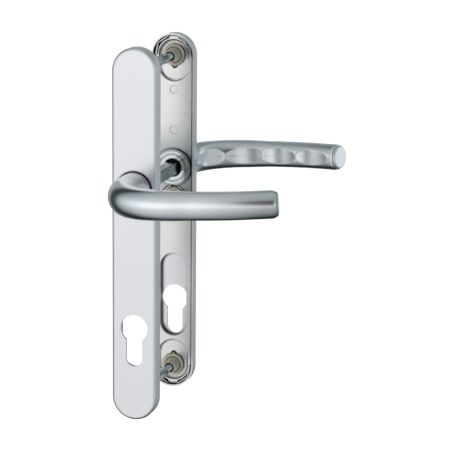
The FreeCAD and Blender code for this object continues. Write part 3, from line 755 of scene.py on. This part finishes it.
def build_screw(name, height):
    """An M5 countersunk screw with its thread and a hexagon socket."""
    node = name + "_fixing_screw"
    low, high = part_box(node)
    tip = low.y / MM - DOOR_HALF
    top = high.y / MM - DOOR_HALF
    seat = top - SCREW_HEAD_HEIGHT
    head_r = (high.x - low.x) / 2 / MM
    loops = [circle(radius, tip + along, height) for radius, along in SCREW_TIP]
    loops += threaded(tip + THREAD_AFTER_TIP, seat - THREAD_BEFORE_SEAT, height)
    loops += [circle(SCREW_R, seat, height), circle(head_r - HEAD_EDGE_IN, top - HEAD_EDGE, height),
              circle(head_r - HEAD_FACE_IN, top, height)]
    loops += [hexagon(SOCKET_MOUTH, top, height), hexagon(SOCKET_FLATS, top - HEAD_EDGE, height),
              hexagon(SOCKET_FLATS, top - SOCKET_DEPTH, height)]
    screw = loft(node + "_thread", loops, SIDES["inside"])
    place_piece(screw, "plates", "zinc_steel", zinc_metal, node)


def build_sleeve(name, height):
    """The threaded sleeve: a stem, a collar and a barrel with a chamfered open end."""
    node = name + "_threaded_sleeve"
    low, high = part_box(node)
    start = -high.y / MM - DOOR_HALF
    end = -low.y / MM - DOOR_HALF
    collar_end = BUSH_NOSE - SLEEVE_COLLAR_LENGTH
    bore_end = start + SLEEVE_BORE_DEPTH
    profile = [(AXIS_R, end), (STEM_R - STEM_CHAMFER, end), (STEM_R, end - STEM_CHAMFER)]
    profile += [(STEM_R, BUSH_NOSE), (SLEEVE_COLLAR_R - SLEEVE_COLLAR_CHAMFER, BUSH_NOSE),
                (SLEEVE_COLLAR_R, BUSH_NOSE - SLEEVE_COLLAR_CHAMFER),
                (SLEEVE_COLLAR_R, collar_end + SLEEVE_COLLAR_CHAMFER),
                (SLEEVE_COLLAR_R - SLEEVE_COLLAR_CHAMFER, collar_end), (SLEEVE_R, collar_end)]
    profile += [(SLEEVE_R, start + SLEEVE_END_LENGTH), (SLEEVE_R - SLEEVE_END_IN, start),
                (SLEEVE_BORE_R + SLEEVE_MOUTH_OUT, start),
                (SLEEVE_BORE_R, start + SLEEVE_MOUTH_DEPTH),
                (SLEEVE_BORE_R, bore_end), (AXIS_R, bore_end + SLEEVE_BORE_POINT)]
    centre = Vector((0, 0, height))
    sleeve = turned(node + "_stem", profile, centre, ALONG_Y, SIDES["outside"], SLEEVE_POINTS)
    place_piece(sleeve, "plates", "zinc_steel", zinc_metal, node)


for piece_name, piece_height in SCREW_HEIGHTS.items():
    build_screw(piece_name, piece_height)
    build_sleeve(piece_name, piece_height)
    for side_name in SIDES:
        build_bush(side_name, piece_name, piece_height)


# ------------------------------------------------ studio and camera, in metres

VIEW_YAW, VIEW_PITCH, VIEW_ROLL = (math.radians(a) for a in (15.431, 11.603, 0.450))
VIEW_TARGET = Vector((0.04786, 0.0, -0.0293))
VIEW_DISTANCE = 1.4866
LENS_MM, SENSOR_MM = 180.5, 36.0

FLOOR_HALF, FLOOR_Z = 60.0, -1.3
FLOOR_COLOUR, FLOOR_GLOW = (0.93, 0.93, 0.93), 0.72

KEY_PLACE, KEY_AIM = Vector((-1.1, -2.0, 0.9)), Vector((0.03, 0.0, -0.03))
KEY_SIZE, KEY_WATTS = (1.2, 1.4), 26.0

# How bright the studio is round the set: (turn, level), where turn 0.5 is straight in front,
# 0.25 is left and 0.75 is right
AROUND = [(0.0, 0.44), (0.11, 0.42), (0.14, 0.03), (0.192, 0.03), (0.225, 0.42), (0.264, 0.62),
          (0.333, 0.85), (0.39, 1.0), (0.467, 1.02), (0.514, 0.76), (0.569, 0.52), (0.694, 0.50),
          (0.79, 0.55), (0.828, 0.95), (0.869, 0.95), (0.911, 0.40), (1.0, 0.40)]
# (height, level), where height 0 is straight down and 1 is straight up
UPWARDS = [(0.0, 0.3), (0.075, 0.5), (0.215, 0.70), (0.35, 0.83), (0.40, 1.02), (0.45, 1.18),
           (0.6, 1.1), (0.725, 0.75), (0.875, 0.6), (1.0, 0.55)]
# Straight above, where all turns meet, the level round the set gives way to this one
POLE_START, POLE_END, POLE_LEVEL = 0.75, 0.98, 0.8
# Darker low down behind the set: (start, end) of the fall in Z and of the rise in Y
LOW_DOWN, BEHIND, LOW_BEHIND_SHADE = (-0.3, -0.8), (-0.3, 0.25), 0.9
# A dark stand at the right front: its direction, the cosines from its edge in, and its level
DARK_STAND, STAND_EDGE, STAND_LEVEL = (0.39, -0.85, 0.35), (0.92, 0.985), 0.12
# The light is bluer behind than in front
BACK_TINT, FRONT_TINT, TINT_EDGE = (0.87, 0.965, 1.0), (1.0, 0.995, 1.0), (-0.9, 0.0)


def build_camera():
    forward = Vector((-math.sin(VIEW_YAW) * math.cos(VIEW_PITCH),
                      math.cos(VIEW_YAW) * math.cos(VIEW_PITCH), -math.sin(VIEW_PITCH)))
    level = Vector((math.cos(VIEW_YAW), math.sin(VIEW_YAW), 0))
    above = level.cross(forward)
    right = level * math.cos(VIEW_ROLL) + above * math.sin(VIEW_ROLL)
    up = above * math.cos(VIEW_ROLL) - level * math.sin(VIEW_ROLL)
    data = bpy.data.cameras.new("view")
    data.lens = LENS_MM
    data.sensor_width = SENSOR_MM
    data.clip_start, data.clip_end = 0.05, 200.0
    camera = bpy.data.objects.new("view", data)
    bpy.context.scene.collection.objects.link(camera)
    turn = Matrix((right, up, -forward)).transposed().to_4x4()
    camera.matrix_world = Matrix.Translation(VIEW_TARGET - forward * VIEW_DISTANCE) @ turn
    bpy.context.scene.camera = camera


def build_floor():
    """A wide pale floor, well below the set, which metal doesn't mirror."""
    bm = bmesh.new()
    bmesh.ops.create_grid(bm, x_segments=1, y_segments=1, size=FLOOR_HALF)
    floor = finish_mesh(bm, "floor")
    floor.location.z = FLOOR_Z
    look = Look("floor_look", FLOOR_COLOUR, metallic=0.0, roughness=0.9)
    look.shader.inputs["Emission Color"].default_value = (1, 1, 1, 1)
    look.shader.inputs["Emission Strength"].default_value = FLOOR_GLOW
    floor.data.materials.append(look.material)
    floor.visible_glossy = False
    floor.visible_shadow = False


def studio_level(tree, direction):
    """How bright the studio is in a direction."""
    split = tree.node("ShaderNodeSeparateXYZ")
    tree.link(direction, split.inputs[0])
    x, y, z = split.outputs

    def stepped(value, stops):
        """A ramp through (place from 0 to 1, level) stops."""
        node = tree.node("ShaderNodeValToRGB")
        node.color_ramp.interpolation = "EASE"
        elements = node.color_ramp.elements
        while len(elements) < len(stops):
            elements.new(0.5)
        for element, (place, shade) in zip(elements, stops):
            element.position = place
            element.color = (shade, shade, shade, 1)
        tree.link(value, node.inputs["Fac"])
        return node.outputs["Color"]

    heading = tree.maths("ARCTAN2", x, tree.maths("MULTIPLY", y, -1.0))
    turn = tree.maths("ADD", tree.maths("MULTIPLY", heading, 1 / (2 * math.pi)), 0.5)
    height = tree.maths("ADD", tree.maths("MULTIPLY", z, 0.5), 0.5)
    pole = tree.ranged(z, 0.0, 1.0, POLE_START, POLE_END, "SMOOTHSTEP")
    around = tree.maths("MULTIPLY", stepped(turn, AROUND), tree.maths("SUBTRACT", 1.0, pole))
    evened = tree.maths("ADD", around, tree.maths("MULTIPLY", pole, POLE_LEVEL))
    low = tree.ranged(z, 0.0, 1.0, *LOW_DOWN, "SMOOTHSTEP")
    behind = tree.ranged(y, 0.0, 1.0, *BEHIND, "SMOOTHSTEP")
    shade = tree.maths("MULTIPLY", tree.maths("MULTIPLY", low, behind), LOW_BEHIND_SHADE)
    toward = tree.node("ShaderNodeVectorMath", operation="DOT_PRODUCT")
    toward.inputs[1].default_value = DARK_STAND
    tree.link(direction, toward.inputs[0])
    stand = tree.ranged(toward.outputs["Value"], 1.0, STAND_LEVEL, *STAND_EDGE, "SMOOTHSTEP")
    level = tree.maths("MULTIPLY", evened, stepped(height, UPWARDS))
    level = tree.maths("MULTIPLY", level, tree.maths("SUBTRACT", 1.0, shade))
    return tree.maths("MULTIPLY", level, stand), y


def build_world():
    """A soft studio for light and reflections; the camera itself sees plain white behind the set."""
    world = bpy.data.worlds.new("studio")
    world.use_nodes = True
    world.node_tree.nodes.clear()
    tree = NodeTree(world.node_tree)
    level, y = studio_level(tree, tree.node("ShaderNodeTexCoord").outputs["Generated"])
    in_front = tree.ranged(y, 1.0, 0.0, *TINT_EDGE, "SMOOTHSTEP")
    light = tree.node("ShaderNodeBackground")
    tree.link(tree.mixed(in_front, BACK_TINT, FRONT_TINT), light.inputs["Color"])
    tree.link(level, light.inputs["Strength"])
    seen = tree.node("ShaderNodeBackground")
    seen.inputs["Color"].default_value = (1, 1, 1, 1)
    path = tree.node("ShaderNodeLightPath")
    either = tree.node("ShaderNodeMixShader")
    tree.link(path.outputs["Is Camera Ray"], either.inputs["Fac"])
    tree.link(light.outputs[0], either.inputs[1])
    tree.link(seen.outputs[0], either.inputs[2])
    tree.link(either.outputs[0], tree.node("ShaderNodeOutputWorld").inputs["Surface"])
    bpy.context.scene.world = world


def build_key_light():
    """A soft light from the left front, which metal doesn't mirror."""
    data = bpy.data.lights.new("key_left", "AREA")
    data.shape = "RECTANGLE"
    data.size, data.size_y = KEY_SIZE
    data.energy = KEY_WATTS
    light = bpy.data.objects.new("key_left", data)
    light.location = KEY_PLACE
    light.rotation_mode = "QUATERNION"
    light.rotation_quaternion = (KEY_AIM - KEY_PLACE).to_track_quat("-Z", "Y")
    light.visible_glossy = False
    bpy.context.scene.collection.objects.link(light)


build_camera()
build_floor()
build_world()
build_key_light()
bpy.context.scene.view_settings.view_transform = "Standard"
